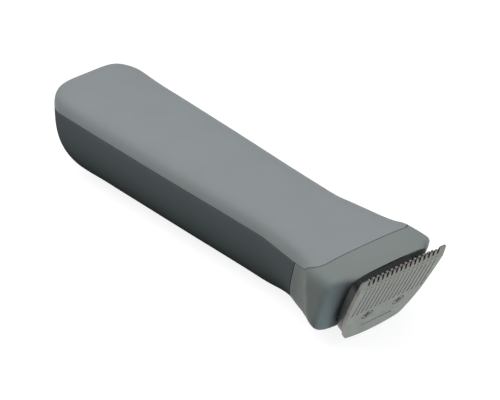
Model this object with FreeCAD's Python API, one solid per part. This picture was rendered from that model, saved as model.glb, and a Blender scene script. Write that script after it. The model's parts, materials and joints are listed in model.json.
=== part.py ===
"""Cordless body groomer: a two-shell handle, a flared head and a clip-on blade cartridge.

Millimetres.  +X runs from the tail to the blade, +Z is up, Y is across.  The origin is on the
surface that the handle rests on, under the middle of its length.

The blade cartridge is drawn in its own frame, with its origin on the tooth tips: its X runs down
the blade from the tips, its Y is the row's Y and its Z points out of the comb's face.
"""

import FreeCAD
import Part

import math
import os

V = FreeCAD.Vector
X_AXIS, Y_AXIS, Z_AXIS = V(1, 0, 0), V(0, 1, 0), V(0, 0, 1)

# ---------------------------------------------------------------- driving dimensions
LENGTH = 162.6
TAIL_X = -LENGTH / 2
TIP_X = LENGTH / 2
TIP_Z = 32.17  # height of the tooth tips
BLADE_TILT = 29.3  # degrees that the blade leans forward of upright
HEAD_TILT = 21.5  # the same for the head's front crease
JOINT_TILT = 18.0  # the same for the joint between the handle and the head

SEAM_Z = 24.9  # joint between the top cover and the lower shell
GAP = 0.15  # half of the visible gap at each joint
WALL = 2.2
FIT = 0.15  # between the shells and what they hold
JOINT_X = 50.3  # where the handle ends and the head starts, at the height of the seam
# The seam climbs towards the tongue's front corner.
SEAM_RISE = [(44, 24.9), (48, 25.0), (52, 25.35), (56, 26.3), (60, 27.7), (66, 30.0)]
COVER_FRONT_X = 63.1  # front edge of the top cover's tongue
COVER_HALF_WIDTH = 19.3
COVER_CORNER = 4.6
HEAD_FRONT_X = 69.6  # the head's front crease, at HEAD_FRONT_Z
HEAD_FRONT_Z = 26.9
CREASE_ROUND = 1.6  # how far the crease's rounding reaches each way
# The tail's end rounding: how far it reaches along X, and how far it draws each side in.
TAIL_ROUND = {"top": (2.2, 2.2), "side": (10.0, 8.0), "bottom": (15.0, 19.5)}

# The handle's outline along its length, as (x, value) pairs that are joined smoothly.
HALF_WIDTH = [(-81, 17.7), (-60, 17.6), (-20, 17.0), (20, 15.9), (31, 15.75), (41, 16.6),
              (51, 17.9), (56, 19.3), (60, 20.75), (69, 21.0), (80, 21.0)]
TOP_Z = [(-81, 31.0), (-60, 31.2), (20, 31.0), (41, 30.9), (51, 30.7), (60, 30.6), (80, 30.55)]
WIDEST_Z = [(-81, 21.5), (20, 21.5), (41, 20.5), (51, 19.0), (60, 17.5), (80, 16.5)]
BOTTOM_Z = [(-81, -0.4), (25, -0.4), (41, 1.8), (51, 3.2), (57, 3.6), (63, 3.1), (69, 2.5), (80, 2.0)]
UPPER_POWER = [(-81, 4.9), (-72, 4.3), (-60, 3.5), (0, 3.4), (20, 3.5), (31, 3.6), (41, 4.3),
               (51, 5.4), (56, 5.7), (61, 6.6), (69, 7.0), (80, 7.0)]
LOWER_POWER = [(-81, 2.7), (-60, 2.4), (-20, 2.3), (31, 2.25), (41, 2.4), (51, 3.6),
               (56, 4.1), (61, 4.1), (66, 3.8), (80, 3.8)]
# How far the top falls away towards its sides, as a share of its height over the widest line.
CROWN = [(44, 0.0), (56, 0.02), (63, 0.04), (71, 0.06)]
LEAN = [(20, 0.0), (50, JOINT_TILT), (68, HEAD_TILT)]  # how far each section leans forward
RING_POINTS = 96
CORNER_CROWDING = 0.7  # how far a section's points crowd towards its corners
STATION_STEP = 8.0
FINE_STEP = 2.4  # between the sections from FINE_X on, where the outline changes quickly
FINE_X = 34.0

# ---------------------------------------------------------------- blade cartridge, in its own frame
COMB_LENGTH = 36.0
COMB_THICK = 1.2
# Half of the comb's outline, as (distance down from the tips, half-width) pairs.
COMB_SIDE = [(0, 16.8), (4.5, 16.7), (9.5, 16.45), (14.0, 16.1), (18.5, 15.6), (22.5, 15.0),
             (26.5, 13.95), (29.7, 12.9), (31.6, 12.1)]
COMB_CORNER = 2.6
COMB_BOTTOM_CORNER = (34.0, 11.2)
BEVEL_DEPTH = 0.85  # how far the tooth tips lie behind the comb's face
BEVEL_END = 4.8
TOOTH_PITCH = 1.83
TOOTH_GAPS = 16
TOOTH_GAP = 0.85
TOOTH_TIP = 0.7  # the teeth between the two end teeth are shorter by this
TOOTH_ROOT = 2.8
GROOVE_WIDTH = 0.8
GROOVE_DEPTH = 0.12
GROOVE_SPAN = (5.0, 19.6)
DIMPLE_DOWN = 3.7
DIMPLE_R = 0.42
DIMPLE_DEPTH = 0.22
LINE_SPAN = (29.2, 29.8)  # a plain engraved line below the screws
LINE_HALF_WIDTH = 6.2
LINE_DEPTH = 0.1
SCREW_DOWN = 23.2
SCREW_HALF_SPACING = 6.2
SCREW_HEAD_R = 2.05
SCREW_SHANK_R = 0.9
SCREW_RING = 0.16  # open ring round each screw's head

CUTTER_FRONT = -COMB_THICK - 0.03
CUTTER_THICK = 0.8
CUTTER_HALF_WIDTH = 12.9
CUTTER_SPAN = (1.8, 17.9)
STROKE = 1.0  # the cutter's travel each side of its middle
SLIDE_CLEARANCE = 0.3
CARRIER_SPAN = (15.9, 21.2)
CARRIER_HALF_WIDTH = 6.6
CARRIER_BACK = -5.7
FORK_TOP = 17.2

BASE_FRONT = -COMB_THICK - 0.02
BASE_BACK = -4.1
BASE_TOP = 2.9
BASE_CORNER = 4.0
BASE_SHRINK = 0.45
PLUG_HALF_WIDTH = 10.5
PLUG_SPAN = (14.6, 27.0)
PLUG_BACK = -8.0
PLUG_CLEARANCE = 0.25
WINDOW_TOP = PLUG_SPAN[0] + 1.0
WINDOW_HALF_WIDTH = CARRIER_HALF_WIDTH + STROKE + SLIDE_CLEARANCE + 0.1

LIP_SPAN = (4.0, 29.0)  # the head's lip
LIP_CROWN = 1.2  # how much lower the lip's top is at its corners
LIP_BACK = -4.9
LIP_HALF_WIDTH = (15.4, 13.0)  # at its top and at its bottom

# ---------------------------------------------------------------- drive
DRIVE_Z = 16.5  # height of the motor's axis
MOTOR_R = 10.0
MOTOR_FLAT = 7.7  # half of the height over the can's flats
MOTOR_X = (21.0, 51.0)
SHAFT_R = 1.15
SHAFT_FIT = 0.05
CRANK = 1.0  # how far the drive pin stands off the motor's axis
DRIVE_PIN_R = 1.0
DRIVE_PIN_END_X = 69.5
CAM_R = 4.0
CAM_X = (57.4, 61.4)
BULKHEAD_X = (53.6, 55.8)
SEAL_R = 4.4
MOTOR_SCREW_Y = 6.6
BULKHEAD_SCREW_Y = 13.6

# ---------------------------------------------------------------- battery, board and button
CELL_R = 7.0
CELL_X = (-72.0, -23.0)
CELL_Y = 7.15
CELL_Z = 14.4
BOARD_X = (-19.0, 12.0)
BOARD_HALF_WIDTH = 11.5
BOARD_Z = 9.4
BOARD_THICK = 1.6
BOARD_SCREWS = [(-16.3, 7.0), (9.0, -6.5)]
BOSS_R = 2.4
BOSS_FOOT_Z = 2.4  # inside the lower shell's wall
BUTTON_X = -4.0
BUTTON_HALF = (8.5, 4.4)
BUTTON_FACE_Z = 0.5
BUTTON_FLANGE_Z = 3.0
BUTTON_TRAVEL = 0.7
LIGHT_X = 9.0
CONTACT_Y = 5.0
CONTACT_Z = 20.4
CONTACT_R = 1.6


# ---------------------------------------------------------------- helpers
def smooth(pairs, x):
    """The value at x on a curve through (x, value) pairs that never overshoots them."""
    xs, ys = [p[0] for p in pairs], [p[1] for p in pairs]
    if x <= xs[0]:
        return ys[0]
    if x >= xs[-1]:
        return ys[-1]
    steps = [(ys[i + 1] - ys[i]) / (xs[i + 1] - xs[i]) for i in range(len(xs) - 1)]

    def slope(i):
        if i == 0 or i == len(xs) - 1 or steps[i - 1] * steps[i] <= 0:
            return 0.0
        return 2.0 / (1.0 / steps[i - 1] + 1.0 / steps[i])

    i = max(k for k in range(len(xs) - 1) if xs[k] <= x)
    h = xs[i + 1] - xs[i]
    t = (x - xs[i]) / h
    return (ys[i] * (1 + 2 * t) * (1 - t) ** 2 + slope(i) * h * t * (1 - t) ** 2
            + ys[i + 1] * t * t * (3 - 2 * t) + slope(i + 1) * h * t * t * (t - 1))


def end_round(reach, depth, distance):
    """How far a surface has drawn in at this distance from the tail's end."""
    if distance >= reach:
        return 0.0
    return depth * (1 - math.sqrt(max(0.0, 1 - (1 - distance / reach) ** 2)))


def unit_outline(x, angle):
    """The outline's point at station x in a frame where it just fills a square of half-width 1."""
    angle += CORNER_CROWDING / 4 * math.sin(4 * angle)
    c, s = math.cos(angle), math.sin(angle)
    power = smooth(UPPER_POWER if s >= 0 else LOWER_POWER, x)
    reach = (abs(c) ** power + abs(s) ** power) ** (-1.0 / power)
    return reach * c, reach * s


def outline_point(x, angle, inset=0.0):
    """A point of the handle's outline on the upright plane at x, drawn in by inset."""
    distance = x - TAIL_X - inset
    pull = {side: end_round(max(reach - inset, 1.0), max(depth - inset, 1.0), distance)
            for side, (reach, depth) in TAIL_ROUND.items()}
    width = smooth(HALF_WIDTH, x) - inset - pull["side"]
    middle = smooth(WIDEST_Z, x)
    if math.sin(angle) >= 0:
        height = smooth(TOP_Z, x) - middle - inset - pull["top"]
    else:
        height = middle - smooth(BOTTOM_Z, x) - inset - pull["bottom"]
    across, up = unit_outline(x, angle)
    if up > 0:
        height *= 1 - smooth(CROWN, x) * across ** 2
    return V(x, width * across, middle + height * up)


def leaning_point(seam_x, angle, inset=0.0):
    """A point of the outline on the leaning section that is at seam_x at the seam's height."""
    lean = math.tan(math.radians(smooth(LEAN, seam_x)))
    x = seam_x
    for _ in range(8):
        point = outline_point(x, angle, inset)
        x = seam_x + (point.z - SEAM_Z) * lean
    return V(x, point.y, point.z)


def angles():
    return [2 * math.pi * i / RING_POINTS for i in range(RING_POINTS)]


def ring(points):
    """A closed smooth wire through the points."""
    count = len(points)
    curve = Part.BSplineCurve()
    curve.interpolate(Points=points, PeriodicFlag=True, Parameters=[i / count for i in range(count + 1)])
    return Part.Wire([curve.toShape()])


def behind(seam_x, lean):
    """Everything behind the plane that leans by lean and is at seam_x at the seam's height."""
    low, high = -40.0, 80.0
    slope = math.tan(math.radians(lean))
    corners = [V(-150, 0, low), V(seam_x + (low - SEAM_Z) * slope, 0, low),
               V(seam_x + (high - SEAM_Z) * slope, 0, high), V(-150, 0, high)]
    return prism(corners, Y_AXIS, -60, 60)


def evenly(low, high, step, extra=0):
    """Stations after low that reach high in about equal steps, and some extra ones past it."""
    count = round((high - low) / step)
    return [low + (high - low) * (i + 1) / count for i in range(count + extra)]


def handle_solid(start_x, end_x, inset):
    """The handle's outline from start_x to end_x as a solid, drawn in by inset.

    The loft runs on past end_x and is cut there, because its last stretches bulge.
    """
    longest = TAIL_ROUND["bottom"][0] - inset
    stations = [start_x + longest * (1 - math.cos(math.radians(a))) for a in range(0, 91, 15)]
    stations += evenly(stations[-1], FINE_X, STATION_STEP)
    stations += evenly(FINE_X, end_x, FINE_STEP, 3)
    rings = [ring([leaning_point(x, a, inset) for a in angles()]) for x in stations]
    return Part.makeLoft(rings, True, False).common(behind(end_x, smooth(LEAN, end_x)))


def crease_x():
    """The head's front crease at the seam's height."""
    return HEAD_FRONT_X + (SEAM_Z - HEAD_FRONT_Z) * math.tan(math.radians(HEAD_TILT))


def lip_point(angle):
    """The point of the head's lip that matches this angle of the front crease."""
    across, up = unit_outline(crease_x(), angle)
    part_way = (1 - up) / 2
    width = LIP_HALF_WIDTH[0] + (LIP_HALF_WIDTH[1] - LIP_HALF_WIDTH[0]) * part_way
    down = LIP_SPAN[0] + (LIP_SPAN[1] - LIP_SPAN[0]) * part_way + LIP_CROWN * across ** 2 * max(up, 0.0)
    return blade_placement().multVec(V(down, across * width, LIP_BACK))


def head_front():
    """The head from just behind its front crease, round the crease and up its bevel to the lip."""
    start = [leaning_point(crease_x() - CREASE_ROUND, a) for a in angles()]
    crease = [leaning_point(crease_x(), a) for a in angles()]
    lip = [lip_point(a) for a in angles()]
    end = [c + (p - c).normalize() * min(CREASE_ROUND, c.distanceToPoint(p) / 2)
           for c, p in zip(crease, lip)]
    rings = []
    for i in range(6):
        t = i / 5
        rings.append(ring([a * (1 - t) ** 2 + b * 2 * t * (1 - t) + c * t * t
                           for a, b, c in zip(start, crease, end)]))
    rings.append(ring(lip))
    return Part.makeLoft(rings, True, True)


def blade_placement():
    """Where the cartridge's own frame sits in the row's: the tooth tips are at TIP_X and TIP_Z."""
    turn = FreeCAD.Rotation(Y_AXIS, 90 + BLADE_TILT)
    return FreeCAD.Placement(V(TIP_X, 0, TIP_Z) + turn.multVec(V(0, 0, BEVEL_DEPTH)), turn)


def prism(corners, direction, low, high):
    """Corners in a plane, pushed along direction from low to high."""
    moved = [c + direction * low for c in corners]
    return Part.Face(Part.makePolygon(moved + [moved[0]])).extrude(direction * (high - low))


def box(x, y, z):
    """A box from three (low, high) pairs."""
    return Part.makeBox(x[1] - x[0], y[1] - y[0], z[1] - z[0], V(x[0], y[0], z[0]))


def wide(half):
    return (-half, half)


def rod(x, radius, y=0.0, z=DRIVE_Z):
    """A cylinder along X between two stations."""
    return Part.makeCylinder(radius, x[1] - x[0], V(x[0], y, z), X_AXIS)


def post(z, radius, x=0.0, y=0.0):
    """A cylinder along Z between two heights."""
    return Part.makeCylinder(radius, z[1] - z[0], V(x, y, z[0]), Z_AXIS)


def rounded_plate(x, y, z, radius):
    """A box with rounded upright corners."""
    plate = box(x, y, z)
    upright = [e for e in plate.Edges if e.BoundBox.ZLength > (z[1] - z[0]) / 2]
    return plate.makeFillet(radius, upright)


def both_sides(make):
    """The same piece at each side of the middle."""
    return Part.makeCompound([make(-1), make(1)])


def in_row(shape):
    """Moves a shape from the cartridge's own frame to the row's."""
    moved = shape.copy()
    moved.Placement = blade_placement()
    return moved


def export(name, shape):
    solids = [s for s in shape.Solids if s.Volume > 0.01]
    whole = solids[0] if len(solids) == 1 else Part.makeCompound(solids)
    if not solids or not whole.isValid():
        raise RuntimeError(name + " isn't a valid solid")
    whole.exportStep("parts/" + name + ".step")
    print("%-18s %2d solid(s) %9.1f mm3" % (name, len(solids), sum(s.Volume for s in solids)))


# ---------------------------------------------------------------- handle shells
def cover_region(grow):
    """Everything above the seam within the top cover's outline in plan."""
    plan = rounded_plate((-150, COVER_FRONT_X + grow), wide(COVER_HALF_WIDTH + grow), (0, 60),
                         COVER_CORNER + grow)
    rise = [V(x, -40, z - grow) for x, z in SEAM_RISE]
    seam = Part.BSplineCurve()
    seam.interpolate(Points=rise, InitialTangent=X_AXIS, FinalTangent=V(2, 0, 1))
    rest = Part.makePolygon([rise[-1], V(rise[-1].x, -40, 60), V(-150, -40, 60), V(-150, -40, rise[0].z),
                             rise[0]])
    profile = Part.Wire(Part.sortEdges([seam.toShape()] + rest.Edges)[0])
    return plan.common(Part.Face(profile).extrude(Y_AXIS * 80))


def plug_hole():
    """The opening in the head that takes the cartridge's plug."""
    hole = rounded_plate((PLUG_SPAN[0] - PLUG_CLEARANCE, PLUG_SPAN[1] + PLUG_CLEARANCE),
                         wide(PLUG_HALF_WIDTH + PLUG_CLEARANCE), (PLUG_BACK - 1.6, 5), 1.6)
    return in_row(hole)


def shell_holes():
    """Openings in the lower shell for the button, the light and the charging contacts."""
    low, high = -BUTTON_HALF[0] - 0.25, BUTTON_HALF[0] + 0.25
    button = rounded_plate((BUTTON_X + low, BUTTON_X + high), wide(BUTTON_HALF[1] + 0.25), (-5, 6), 4.0)
    contacts = box((TAIL_X - 5, TAIL_X + 8), wide(9.2), (CONTACT_Z - 3.7, CONTACT_Z + 3.7))
    return [button, post((-5, 6), 1.15, LIGHT_X), contacts]


def board_bosses():
    """Posts that carry the circuit board."""
    return [post((BOSS_FOOT_Z, BOARD_Z - 0.05), BOSS_R, x, y).cut(post((BOSS_FOOT_Z + 1.2, 20), 0.85, x, y))
            for x, y in BOARD_SCREWS]


def shells():
    """The top cover, the lower shell and the head housing."""
    body = handle_solid(TAIL_X, crease_x() - CREASE_ROUND, 0.0)
    outer = body.fuse(head_front()).removeSplitter()
    outer = outer.cut(box((-100, 100), (-50, 50), (-10, 0)))
    shell = outer.cut(handle_solid(TAIL_X + WALL, crease_x() - 0.8, WALL))
    cover = shell.common(cover_region(-GAP))
    rest = shell.cut(cover_region(GAP))
    lower = rest.common(behind(JOINT_X - GAP, JOINT_TILT)).cut(shell_holes()).fuse(board_bosses())
    head = rest.cut(behind(JOINT_X + GAP, JOINT_TILT)).cut(plug_hole())
    return cover, lower, head


def core(inset):
    """The space inside the shells."""
    return handle_solid(TAIL_X + inset, crease_x() - 2.0, inset)


def seam_seal(inside):
    band = inside.common(box((-100, BULKHEAD_X[0] - 0.2), (-50, 50), (SEAM_Z - 1.0, SEAM_Z + 1.0)))
    return band.cut(handle_solid(TAIL_X + WALL + 1.3, crease_x() - 4.0, WALL + 1.3))


# ---------------------------------------------------------------- motor and drive
def motor_profile(x, grow=0.0):
    """The motor's round can with its two flats."""
    flats = box((x[0] - 1, x[1] + 1), wide(30), (DRIVE_Z - MOTOR_FLAT - grow, DRIVE_Z + MOTOR_FLAT + grow))
    return rod(x, MOTOR_R + grow).common(flats)


def screw_x(x, head_x, y, radius=0.8, head=1.7, z=DRIVE_Z):
    """A pan-head screw along X, with its head at the end head_x."""
    slot = box((head_x[1] - 0.5, head_x[1] + 1), wide(0.25), wide(1.1)).translated(V(0, y, z))
    return rod(x, radius, y, z).fuse(rod(head_x, head, y, z)).cut(slot)


def drive_parts(inside):
    """Everything between the battery and the blade."""
    can_x = (MOTOR_X[0] + 2.5, MOTOR_X[1])
    cap_x = (MOTOR_X[0], MOTOR_X[0] + 2.45)
    bore = rod((0, 90), SHAFT_R + SHAFT_FIT)
    screws = [rod((MOTOR_X[1] - 3, BULKHEAD_X[1] + 1), 0.85, side * MOTOR_SCREW_Y) for side in (-1, 1)]
    deep = [rod((BULKHEAD_X[0] - 7, BULKHEAD_X[1] + 1), 0.85, side * BULKHEAD_SCREW_Y) for side in (-1, 1)]
    can = motor_profile(can_x).cut([bore] + screws)
    cap = motor_profile(cap_x, -0.4).cut(bore)
    terminals = both_sides(lambda side: box((cap_x[0] - 4, cap_x[0] - 0.05), (-0.3, 0.3), (-1.2, 1.2))
                           .translated(V(0, side * 4.5, DRIVE_Z)))
    bearing = rod((MOTOR_X[1] + 0.02, BULKHEAD_X[0] - 0.1), 3.2).cut(bore)
    cradle = inside.common(box((26, BULKHEAD_X[0] - 0.05), (-50, 50), (0, DRIVE_Z)))
    collar = inside.common(box((46, BULKHEAD_X[0] - 0.05), (-50, 50), (DRIVE_Z - 0.01, SEAM_Z - 1.3)))
    hollow = motor_profile((26 - 1, MOTOR_X[1] + 0.1), 0.1)
    cradle = cradle.fuse(collar).cut([hollow, rod((MOTOR_X[1], 60), 7.5)] + deep)
    plate = inside.common(box(BULKHEAD_X, (-50, 50), (0, 60)))
    plate = plate.cut([rod((50, 60), SEAL_R + 0.05)] + screws + deep)
    seal = rod((BULKHEAD_X[0] + 0.1, BULKHEAD_X[1] + 0.4), SEAL_R).cut(rod((50, 60), SHAFT_R + 0.03))
    head_x = (BULKHEAD_X[1] + 0.02, BULKHEAD_X[1] + 1.1)
    motor_screws = both_sides(lambda side: screw_x((MOTOR_X[1] - 2.5, BULKHEAD_X[1] + 0.1), head_x,
                                                   side * MOTOR_SCREW_Y))
    wall_screws = both_sides(lambda side: screw_x((BULKHEAD_X[0] - 6.5, BULKHEAD_X[1] + 0.1), head_x,
                                                  side * BULKHEAD_SCREW_Y))
    return {"motor_can": can, "motor_end_cap": cap, "motor_terminals": terminals, "motor_bearing": bearing,
            "motor_cradle": cradle, "bulkhead": plate, "drive_seal": seal, "motor_screws": motor_screws,
            "bulkhead_screws": wall_screws}


def turning_parts():
    """The motor's shaft, the eccentric on its end and the drive pin."""
    shaft_end = CAM_X[0] + 2.2
    shaft = rod((MOTOR_X[0] + 1.0, shaft_end), SHAFT_R)
    shaft_hole = rod((CAM_X[0] - 1, shaft_end + 0.1), SHAFT_R + 0.01)
    pin_hole = rod((shaft_end + 0.2, CAM_X[1] + 1), DRIVE_PIN_R + 0.01, 0, DRIVE_Z + CRANK)
    cam = rod(CAM_X, CAM_R).cut([shaft_hole, pin_hole])
    cam = cam.cut(box((CAM_X[0] - 1, CAM_X[1] + 1), wide(CAM_R), (DRIVE_Z + 2.6, DRIVE_Z + CAM_R + 1)))
    pin = rod((shaft_end + 0.3, DRIVE_PIN_END_X), DRIVE_PIN_R, 0, DRIVE_Z + CRANK)
    pin = pin.makeChamfer(0.3, [e for e in pin.Edges if e.BoundBox.XMin > DRIVE_PIN_END_X - 0.01])
    return {"motor_shaft": shaft, "eccentric_cam": cam, "drive_pin": pin}


# ---------------------------------------------------------------- battery, board, button and contacts
def battery_parts(inside):
    cell = rod(CELL_X, CELL_R, 0, CELL_Z)
    cell = cell.makeFillet(0.8, [e for e in cell.Edges if e.BoundBox.XLength < 0.01])
    cradle = inside.common(box((CELL_X[0] - 2.5, CELL_X[1] + 2.5), (-50, 50), (0, CELL_Z - 3)))
    room = [rod((CELL_X[0] - 0.6, CELL_X[1] + 0.6), CELL_R + 0.1, side * CELL_Y, CELL_Z) for side in (-1, 1)]
    front = box((CELL_X[1] + 0.05, CELL_X[1] + 0.3), wide(10), (CELL_Z - 2, CELL_Z + 2))
    back = both_sides(lambda side: box((CELL_X[0] - 0.3, CELL_X[0] - 0.05), (-3, 3), (-2, 5))
                      .translated(V(0, side * CELL_Y, CELL_Z)))
    return {"battery_cell_left": cell.translated(V(0, CELL_Y, 0)),
            "battery_cell_right": cell.translated(V(0, -CELL_Y, 0)),
            "battery_tray": cradle.cut(room), "battery_tabs": Part.makeCompound([front] + back.Solids)}


def board_parts():
    top = BOARD_Z + BOARD_THICK
    board = rounded_plate(BOARD_X, wide(BOARD_HALF_WIDTH), (BOARD_Z, top), 2.0)
    board = board.cut([post((0, 20), 1.0, x, y) for x, y in BOARD_SCREWS])
    screws = []
    for x, y in BOARD_SCREWS:
        slot = box((-1.1, 1.1), (-0.25, 0.25), (top + 0.6, top + 3)).translated(V(x, y, 0))
        head = post((top + 0.02, top + 1.2), 1.7, x, y)
        screws.append(post((BOARD_Z - 4, top + 0.1), 0.8, x, y).fuse(head).cut(slot))
    chip = box((-9, -2), (-3.5, 3.5), (top + 0.02, top + 1.3))
    switch = box((BUTTON_X - 3, BUTTON_X + 3), (-3, 3), (BOARD_Z - 3.2, BOARD_Z - 0.02))
    switch = switch.cut(post((0, BOARD_Z - 1.1), 1.65, BUTTON_X))
    led = box((LIGHT_X - 1.6, LIGHT_X + 1.6), (-0.9, 0.9), (BOARD_Z - 0.9, BOARD_Z - 0.02))
    guide = post((0.6, BOARD_Z - 1.0), 1.05, LIGHT_X)
    return {"circuit_board": board, "board_screws": Part.makeCompound(screws), "controller_chip": chip,
            "tact_switch": switch, "status_led": led, "light_guide": guide}


def button_parts(inside):
    top = BUTTON_FLANGE_Z + 1.2
    half_x, half_y = BUTTON_HALF
    along = (BUTTON_X - half_x, BUTTON_X + half_x)
    cap = rounded_plate(along, wide(half_y), (BUTTON_FACE_Z, BUTTON_FLANGE_Z + 0.1), 4.0)
    cap = cap.makeFillet(0.5, [e for e in cap.Edges if e.BoundBox.ZMax < BUTTON_FACE_Z + 0.01])
    flange = rounded_plate((along[0] - 1.2, along[1] + 1.2), wide(half_y + 1.2), (BUTTON_FLANGE_Z, top), 4.0)
    ridges = [box((BUTTON_X + 2.0 * i - 0.4, BUTTON_X + 2.0 * i + 0.4), wide(2.2),
                  (BUTTON_FACE_Z - 1, BUTTON_FACE_Z + 0.25)) for i in (-1, 0, 1)]
    frame = rounded_plate((along[0] - 2.6, along[1] + 2.6), wide(half_y + 2.4),
                          (0, BUTTON_FLANGE_Z - 0.05), 4.0)
    room = rounded_plate((along[0] - 0.3, along[1] + 0.3), wide(half_y + 0.3), (-1, 9), 4.0)
    seal = inside.common(frame).cut(room)
    plunger = post((top + 0.05, BOARD_Z - 2.2), 1.6, BUTTON_X)
    return {"power_button": cap.fuse(flange).cut(ridges), "button_seal": seal, "switch_plunger": plunger}


def contact_parts():
    carrier = box((TAIL_X + 0.6, TAIL_X + 6.0), wide(9.0), (CONTACT_Z - 3.5, CONTACT_Z + 3.5))
    holes = [rod((TAIL_X - 1, TAIL_X + 9), CONTACT_R + 0.03, side * CONTACT_Y, CONTACT_Z)
             for side in (-1, 1)]
    pins = both_sides(lambda side: rod((TAIL_X + 0.3, TAIL_X + 7.0), CONTACT_R, side * CONTACT_Y, CONTACT_Z))
    return {"contact_carrier": carrier.cut(holes), "charge_contacts": pins}


# ---------------------------------------------------------------- blade cartridge, in its own frame
def tooth_positions(count):
    return [(i - (count - 1) / 2) * TOOTH_PITCH for i in range(count)]


def comb_outline(shrink, low, high):
    """The comb's outline, drawn in by shrink, as a plate from low to high."""
    side = [V(x, y - shrink, low) for x, y in COMB_SIDE]
    corner = V(COMB_BOTTOM_CORNER[0] - shrink, COMB_BOTTOM_CORNER[1] - shrink, low)
    flank = Part.BSplineCurve()
    flank.interpolate(side + [corner])
    flank = flank.toShape()
    mirrored = V(corner.x, -corner.y, low)
    bottom = Part.Arc(corner, V(COMB_LENGTH - shrink, 0, low), mirrored).toShape()
    top = Part.makeLine(side[0], V(side[0].x, -side[0].y, low))
    wire = Part.Wire(Part.sortEdges([flank, bottom, flank.mirror(V(0, 0, 0), Y_AXIS), top])[0])
    plate = Part.Face(wire).extrude(V(0, 0, high - low))
    upright = [e for e in plate.Edges if e.BoundBox.ZLength > (high - low) / 2]
    return plate.makeFillet(COMB_CORNER, [e for e in upright if e.BoundBox.XMin > corner.x - 0.1])


def slot(span, y, width, z):
    """A slot down the blade, with round ends."""
    middle = box((span[0] + width / 2, span[1] - width / 2), (y - width / 2, y + width / 2), z)
    ends = [post(z, width / 2, x, y) for x in (span[0] + width / 2, span[1] - width / 2)]
    return middle.fuse(ends)


def comb_plate():
    plate = comb_outline(0.0, -COMB_THICK, 0.0)
    corners = [e for e in plate.Edges if e.BoundBox.ZLength > 1 and e.BoundBox.XMax < 0.1]
    plate = plate.makeFillet(1.0, corners)
    last = tooth_positions(TOOTH_GAPS)[-1]
    cuts = [box((-1, TOOTH_TIP), wide(last), (-3, 1))]
    cuts += [slot((-2, TOOTH_ROOT), y, TOOTH_GAP, (-3, 1)) for y in tooth_positions(TOOTH_GAPS)]
    cuts += [slot(GROOVE_SPAN, y, GROOVE_WIDTH, (-GROOVE_DEPTH, 1)) for y in tooth_positions(TOOTH_GAPS)]
    cuts += [post((-DIMPLE_DEPTH, 1), DIMPLE_R, DIMPLE_DOWN, y) for y in tooth_positions(TOOTH_GAPS)]
    cuts += [post((-3, 1), SCREW_HEAD_R + SCREW_RING, SCREW_DOWN, side * SCREW_HALF_SPACING)
             for side in (-1, 1)]
    cuts.append(box(LINE_SPAN, wide(LINE_HALF_WIDTH), (-LINE_DEPTH, 1)))
    slope = BEVEL_DEPTH / BEVEL_END
    cuts.append(prism([V(-1, 0, -BEVEL_DEPTH - slope), V(BEVEL_END, 0, 0), V(BEVEL_END, 0, 1), V(-1, 0, 1)],
                      Y_AXIS, -20, 20))
    return plate.cut(cuts)


def comb_screws():
    def screw(side):
        cross = [box((-1.3, 1.3), (-0.25, 0.25), (-0.6, 1)), box((-0.25, 0.25), (-1.3, 1.3), (-0.6, 1))]
        head = post((BASE_FRONT + 0.04, -0.04), SCREW_HEAD_R)
        return head.fuse(post((BASE_BACK + 0.2, BASE_FRONT + 0.1), SCREW_SHANK_R)).cut(cross).translated(
            V(SCREW_DOWN, side * SCREW_HALF_SPACING, 0))
    return both_sides(screw)


def blade_base():
    whole = comb_outline(BASE_SHRINK, BASE_BACK, BASE_FRONT).cut(box((-5, BASE_TOP), wide(30), (-20, 5)))
    corners = [e for e in whole.Edges if e.BoundBox.ZLength > 1 and e.BoundBox.XMax < BASE_TOP + 0.01]
    whole = whole.makeFillet(BASE_CORNER, corners)
    plug = rounded_plate(PLUG_SPAN, wide(PLUG_HALF_WIDTH), (PLUG_BACK, BASE_BACK + 0.5), 1.5)
    pocket_half = CUTTER_HALF_WIDTH + STROKE + SLIDE_CLEARANCE
    pocket_floor = CUTTER_FRONT - CUTTER_THICK - 0.2
    cuts = [box((0, CUTTER_SPAN[1] + 0.6), wide(pocket_half), (pocket_floor, 5)),
            box((WINDOW_TOP, CARRIER_SPAN[1] + 0.3), wide(WINDOW_HALF_WIDTH), (-20, 5)),
            box((WINDOW_TOP, CARRIER_SPAN[1] + 1.3), wide(3.6), (-20, 5)),
            box((WINDOW_TOP, PLUG_SPAN[1] - 1.2), wide(WINDOW_HALF_WIDTH), (-20, BASE_BACK - 0.15)),
            box((0, 8.0), (5.5, 30.0), (-20, 5)),
            box((PLUG_SPAN[1] - 0.7, PLUG_SPAN[1] + 0.3), wide(3.2), (PLUG_BACK - 1, BASE_BACK - 0.25))]
    cuts += [post((-20, 5), SCREW_SHANK_R + 0.05, SCREW_DOWN, side * SCREW_HALF_SPACING) for side in (-1, 1)]
    return whole.fuse(plug).cut(cuts)


def latch_clip():
    low = PLUG_SPAN[1] - 0.6
    leaf = box((low, low + 0.4), wide(3.0), (PLUG_BACK + 0.2, BASE_BACK - 0.4))
    nib = box((low + 0.4, low + 0.75), wide(2.0), (PLUG_BACK + 0.7, PLUG_BACK + 1.5))
    return leaf.fuse(nib)


def cutter_blade():
    back = CUTTER_FRONT - CUTTER_THICK
    blade = rounded_plate(CUTTER_SPAN, wide(CUTTER_HALF_WIDTH), (back, CUTTER_FRONT), 0.5)
    gaps = [slot((CUTTER_SPAN[0] - 3, CUTTER_SPAN[0] + 3.2), y, 0.95, (-9, 1)) for y in tooth_positions(14)]
    return blade.cut(gaps)


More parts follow.
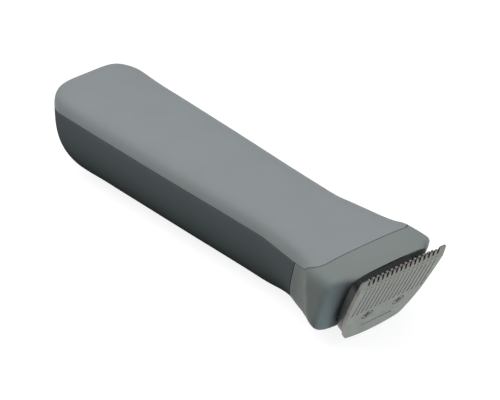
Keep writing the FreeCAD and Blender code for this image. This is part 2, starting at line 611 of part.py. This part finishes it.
def cutter_carrier():
    front = CUTTER_FRONT - CUTTER_THICK - 0.02
    block = rounded_plate(CARRIER_SPAN, wide(CARRIER_HALF_WIDTH), (CARRIER_BACK, front), 0.6)
    fork = box((FORK_TOP, 40), wide(DRIVE_PIN_R + CRANK + STROKE + SLIDE_CLEARANCE), (-20, 5))
    return block.cut(fork)


def tension_spring():
    """A bent wire whose two legs lie behind the cutter's carrier."""
    wire_r = 0.35
    z = CARRIER_BACK - SLIDE_CLEARANCE - wire_r
    y, top, bottom = 5.2, 16.2, PLUG_SPAN[1] - 1.2 - wire_r - 0.05
    legs = [Part.makeCylinder(wire_r, bottom - top, V(top, side * y, z), X_AXIS) for side in (-1, 1)]
    bar = Part.makeCylinder(wire_r, 2 * y, V(bottom, -y, z), Y_AXIS)
    elbows = [Part.makeSphere(wire_r, V(bottom, side * y, z)) for side in (-1, 1)]
    return bar.fuse(legs + elbows)


def main():
    os.makedirs("parts", exist_ok=True)
    cover, lower, head = shells()
    inside = core(WALL + FIT)
    nodes = {"top_cover": cover, "lower_shell": lower, "head_housing": head, "seam_seal": seam_seal(inside)}
    nodes.update(drive_parts(inside))
    nodes.update(turning_parts())
    nodes.update(battery_parts(inside))
    nodes.update(board_parts())
    nodes.update(button_parts(inside))
    nodes.update(contact_parts())
    cartridge = {"comb_plate": comb_plate(), "comb_screws": comb_screws(), "blade_base": blade_base(),
                 "latch_clip": latch_clip(), "cutter_blade": cutter_blade(),
                 "cutter_carrier": cutter_carrier(), "tension_spring": tension_spring()}
    nodes.update({name: in_row(shape) for name, shape in cartridge.items()})
    for name, shape in nodes.items():
        export(name, shape)


main()
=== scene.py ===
"""Body groomer: materials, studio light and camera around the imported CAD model.  Metres."""

import json
import math

import bpy
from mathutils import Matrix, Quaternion, Vector


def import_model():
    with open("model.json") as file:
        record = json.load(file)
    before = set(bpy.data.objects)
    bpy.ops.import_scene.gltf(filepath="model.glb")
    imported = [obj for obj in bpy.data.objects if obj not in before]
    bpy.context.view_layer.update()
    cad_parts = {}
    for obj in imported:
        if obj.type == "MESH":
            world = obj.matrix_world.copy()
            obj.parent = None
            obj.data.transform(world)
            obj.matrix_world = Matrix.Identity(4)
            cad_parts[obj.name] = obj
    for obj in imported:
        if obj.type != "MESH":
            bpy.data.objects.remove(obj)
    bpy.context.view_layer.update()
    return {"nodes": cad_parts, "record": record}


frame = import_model()

NOISE_LOW = 0.3  # noise runs mostly between these two
NOISE_HIGH = 0.7

MOTTLE = 0.03  # how far a plastic's colour strays, as a part of itself
MOTTLE_SIZE = 0.02
GLOSS_SIZE = 0.004
GLOSS_SPREAD = 0.04
GRAIN_SIZE = 0.00025
PLASTIC_EDGE = 0.0003  # the radius of its rounded edges

LINE_SIZE = 0.00006
LINE_STRETCH = 40.0  # how much longer than wide a ground line is
LINE_DEPTH = 0.0000015
CLOUD_SIZE = 0.003
CLOUD_SPREAD = 0.05
METAL_EDGE = 0.0001

FLOOR_HALF = 3.0
FLOOR_Z = -0.0003
HORIZON = (-0.1, 0.4)  # the sky grows from dark to bright between these heights


# ---------------------------------------------------------------- node helpers
def new_material(name):
    """A material with an empty Principled shader; returns it with its tree and shader."""
    material = bpy.data.materials.new(name)
    material.use_nodes = True
    tree = material.node_tree
    return material, tree, tree.nodes["Principled BSDF"]


def place(tree, stretch=(1, 1, 1), turn=(0, 0, 0)):
    """The piece's own coordinates in metres, turned and then stretched along the axes."""
    coords = tree.nodes.new("ShaderNodeTexCoord")
    mapping = tree.nodes.new("ShaderNodeMapping")
    mapping.vector_type = "TEXTURE"
    mapping.inputs["Rotation"].default_value = turn
    mapping.inputs["Scale"].default_value = stretch
    tree.links.new(coords.outputs["Object"], mapping.inputs["Vector"])
    return mapping.outputs["Vector"]


def noise(tree, vector, size, detail=2.0, rough=0.5):
    """Noise whose features are about this size in metres."""
    node = tree.nodes.new("ShaderNodeTexNoise")
    for key, number in (("Scale", 1.0 / size), ("Detail", detail), ("Roughness", rough)):
        node.inputs[key].default_value = number
    tree.links.new(vector, node.inputs["Vector"])
    return node.outputs["Fac"]


def remap(tree, value, low, high, start=NOISE_LOW, end=NOISE_HIGH):
    """Spreads values from start to end over low to high, and holds them there beyond."""
    node = tree.nodes.new("ShaderNodeMapRange")
    for key, number in (("From Min", start), ("From Max", end), ("To Min", low), ("To Max", high)):
        node.inputs[key].default_value = number
    tree.links.new(value, node.inputs["Value"])
    return node.outputs["Result"]


def shade(tree, value, colour, low, high):
    """The colour times low where value is at its lowest, and times high at its highest."""
    ramp = tree.nodes.new("ShaderNodeValToRGB")
    stops = ((NOISE_LOW, low), (NOISE_HIGH, high))
    for element, (position, factor) in zip(ramp.color_ramp.elements, stops):
        element.position = position
        element.color = [channel * factor for channel in colour] + [1]
    tree.links.new(value, ramp.inputs["Fac"])
    return ramp.outputs["Color"]


def bump(tree, height, depth, normal):
    """A bump of this depth in metres on top of other normals."""
    node = tree.nodes.new("ShaderNodeBump")
    node.inputs["Strength"].default_value = 1.0
    node.inputs["Distance"].default_value = depth
    tree.links.new(height, node.inputs["Height"])
    tree.links.new(normal, node.inputs["Normal"])
    return node.outputs["Normal"]


def soft_edges(tree, radius):
    """Normals that round the sharp edges off by this radius."""
    node = tree.nodes.new("ShaderNodeBevel")
    node.samples = 6
    node.inputs["Radius"].default_value = radius
    return node.outputs["Normal"]


# ---------------------------------------------------------------- materials
def plastic(name, colour, rough, depth=0.000004, specular=0.5):
    """Moulded plastic: a spark-eroded grain, faint mottling and slightly uneven gloss."""
    material, tree, shader = new_material(name)
    vector = place(tree)
    patches = noise(tree, vector, MOTTLE_SIZE, 3)
    tree.links.new(shade(tree, patches, colour, 1 - MOTTLE, 1 + MOTTLE), shader.inputs["Base Color"])
    gloss = noise(tree, vector, GLOSS_SIZE, 4)
    tree.links.new(remap(tree, gloss, rough - GLOSS_SPREAD, rough + GLOSS_SPREAD),
                   shader.inputs["Roughness"])
    grain = noise(tree, vector, GRAIN_SIZE, 3)
    tree.links.new(bump(tree, grain, depth, soft_edges(tree, PLASTIC_EDGE)), shader.inputs["Normal"])
    shader.inputs["Specular IOR Level"].default_value = specular
    return material


def facing(tree, direction):
    """1 on the faces that point along this direction, 0 on the edge faces beside them."""
    coords = tree.nodes.new("ShaderNodeTexCoord")
    dot = tree.nodes.new("ShaderNodeVectorMath")
    dot.operation = "DOT_PRODUCT"
    dot.inputs[1].default_value = direction
    tree.links.new(coords.outputs["Normal"], dot.inputs[0])
    return remap(tree, dot.outputs["Value"], 0, 1, 0.5, 0.9)


def mixed(tree, factor, first, second):
    """The first colour where factor is 0 and the second where it is 1."""
    mix = tree.nodes.new("ShaderNodeMix")
    mix.data_type = "RGBA"
    tree.links.new(factor, mix.inputs["Factor"])
    # Sockets are taken by number, since the node has an A, a B and a Result for each data type.
    for source, socket in ((first, mix.inputs[6]), (second, mix.inputs[7])):
        tree.links.new(source, socket)
    return mix.outputs[2]


def metal(name, colour, rough, along=(0, 0, 1), turn=(0, 0, 0), face=None, edge_colour=None):
    """Ground metal: fine lines that run along one axis, with uneven gloss.

    With along all zero there are no lines, only fine noise.
    Where a face direction is given, the faces beside it take the edge colour.
    """
    material, tree, shader = new_material(name)
    stretch = [LINE_STRETCH if a else 1.0 for a in along]
    lines = noise(tree, place(tree, stretch, turn), LINE_SIZE, 4, 0.6)
    clouds = noise(tree, place(tree), CLOUD_SIZE, 3)
    ground = shade(tree, lines, colour, 0.93, 1.05)
    if face:
        ground = mixed(tree, facing(tree, face), shade(tree, clouds, edge_colour, 0.7, 1.2), ground)
    tree.links.new(ground, shader.inputs["Base Color"])
    tree.links.new(remap(tree, clouds, rough - CLOUD_SPREAD, rough + CLOUD_SPREAD),
                   shader.inputs["Roughness"])
    tree.links.new(bump(tree, lines, LINE_DEPTH, soft_edges(tree, METAL_EDGE)), shader.inputs["Normal"])
    shader.inputs["Metallic"].default_value = 1.0
    return material


BLADE_TILT = math.radians(29.3)  # how far the blade leans forward
BLADE_TURN = (0, BLADE_TILT, 0)
BLADE_FACE = (math.cos(BLADE_TILT), 0, -math.sin(BLADE_TILT))
SLOTS = {
    "cover_grey": plastic("cover_plastic", (0.250, 0.277, 0.282), 0.52),
    "shell_grey": plastic("shell_plastic", (0.145, 0.171, 0.176), 0.45, specular=0.0),
    "head_grey": plastic("head_plastic", (0.222, 0.250, 0.243), 0.50, specular=0.10),
    "comb_steel": metal("comb_metal", (0.192, 0.210, 0.190), 0.38, turn=BLADE_TURN, face=BLADE_FACE,
                        edge_colour=(0.20, 0.18, 0.16)),
    "cutter_steel": metal("cutter_metal", (0.32, 0.29, 0.27), 0.4, turn=BLADE_TURN),
    "base_black": plastic("base_plastic", (0.016, 0.017, 0.020), 0.3, depth=0.000002, specular=0.25),
    "carrier_plastic": plastic("carrier_acetal", (0.10, 0.11, 0.13), 0.4),
    "spring_steel": metal("spring_metal", (0.5, 0.5, 0.5), 0.3),
    "screw_steel": metal("screw_metal", (0.135, 0.145, 0.135), 0.4, along=(0, 0, 0)),
    "rubber_black": plastic("seal_rubber", (0.02, 0.02, 0.02), 0.75),
    "inner_plastic": plastic("inner_moulding", (0.05, 0.05, 0.055), 0.6),
    "motor_steel": metal("motor_plating", (0.55, 0.56, 0.57), 0.35, along=(1, 0, 0)),
    "bearing_brass": metal("sintered_brass", (0.55, 0.40, 0.17), 0.45, along=(0, 0, 0)),
    "cell_wrap": plastic("cell_wrapper", (0.03, 0.10, 0.22), 0.3, depth=0.000001),
    "tab_nickel": metal("nickel_strip", (0.6, 0.59, 0.55), 0.35, along=(0, 1, 0)),
    "board_green": plastic("solder_mask", (0.01, 0.09, 0.035), 0.35, depth=0.000001),
    "chip_black": plastic("chip_moulding", (0.015, 0.015, 0.016), 0.55),
    "light_clear": plastic("light_plastic", (0.6, 0.62, 0.6), 0.15, depth=0.0000005),
    "button_grey": plastic("button_plastic", (0.035, 0.040, 0.041), 0.6),
    "contact_gold": metal("contact_plating", (0.75, 0.55, 0.25), 0.25, along=(0, 0, 0)),
}
for subpart in frame["record"]["subparts"]:
    node = frame["nodes"][subpart["node"]]
    for index in range(len(node.material_slots)):
        node.material_slots[index].material = SLOTS[subpart["material_slot"]]


# ---------------------------------------------------------------- floor, light and camera
def floor():
    """A pale sheet, a hair below the groomer so that it doesn't flicker against the flat belly."""
    mesh = bpy.data.meshes.new("floor")
    corners = [(x * FLOOR_HALF, y * FLOOR_HALF, FLOOR_Z)
               for x, y in ((-1, -1), (1, -1), (1, 1), (-1, 1))]
    mesh.from_pydata(corners, [], [(0, 1, 2, 3)])
    piece = bpy.data.objects.new("floor", mesh)
    bpy.context.scene.collection.objects.link(piece)
    material, _, shader = new_material("floor_paper")
    shader.inputs["Base Color"].default_value = (0.3, 0.3, 0.3, 1)
    shader.inputs["Roughness"].default_value = 0.9
    shader.inputs["Specular IOR Level"].default_value = 0.0
    shader.inputs["Emission Color"].default_value = (1, 1, 1, 1)
    shader.inputs["Emission Strength"].default_value = 0.85
    # It shows white but throws no light up at the groomer's dull surfaces. Gloss still reflects it.
    material.cycles.emission_sampling = "NONE"
    piece.visible_diffuse = False
    mesh.materials.append(material)


def area_light(name, place_at, aim, size, power, colour=(1, 1, 1), glossy=True):
    """A soft box; where it isn't glossy, no reflection of it shows."""
    data = bpy.data.lights.new(name, "AREA")
    data.shape = "RECTANGLE"
    data.size, data.size_y = size
    data.energy = power
    data.color = colour
    light = bpy.data.objects.new(name, data)
    light.location = place_at
    light.rotation_euler = (Vector(aim) - Vector(place_at)).to_track_quat("-Z", "Y").to_euler()
    light.visible_glossy = glossy
    bpy.context.scene.collection.objects.link(light)


def world(above, below):
    """A bright, even sky of this strength over a dark ground."""
    background = bpy.data.worlds.new("studio")
    background.use_nodes = True
    tree = background.node_tree
    coords = tree.nodes.new("ShaderNodeTexCoord")
    axes = tree.nodes.new("ShaderNodeSeparateXYZ")
    tree.links.new(coords.outputs["Generated"], axes.inputs["Vector"])
    strength = remap(tree, axes.outputs["Z"], below, above, *HORIZON)
    node = tree.nodes["Background"]
    node.inputs["Color"].default_value = (1, 1, 1, 1)
    tree.links.new(strength, node.inputs["Strength"])
    bpy.context.scene.world = background


def camera():
    """The camera stands where it sees the groomer from its blade end, from above and to one side."""
    stand = Vector((0.7192, -0.5508, 0.5691))
    aim = Vector((0.04335, -0.0287, 0.04895))
    data = bpy.data.cameras.new("camera")
    data.lens = 238.97
    data.sensor_width = 36
    body = bpy.data.objects.new("camera", data)
    body.location = stand
    roll = Quaternion((0, 0, 1), math.radians(-1.944))
    body.rotation_mode = "QUATERNION"
    body.rotation_quaternion = (stand - aim).to_track_quat("Z", "Y") @ roll
    bpy.context.scene.collection.objects.link(body)
    bpy.context.scene.camera = body


floor()
world(0.70, 0.0)
area_light("overhead", (-0.2, 0.1, 0.9), (0, 0, 0), (1.0, 1.0), 0.6)
area_light("side_soft", (-0.2, -0.5, 1.0), (0, 0, 0.02), (0.6, 0.6), 3.4)
area_light("front_fill", (0.9, 0.05, 0.08), (0.06, 0, 0.02), (0.4, 0.15), 3.8, (0.7, 0.87, 1.0),
           glossy=False)
camera()
bpy.context.scene.view_settings.view_transform = "Standard"
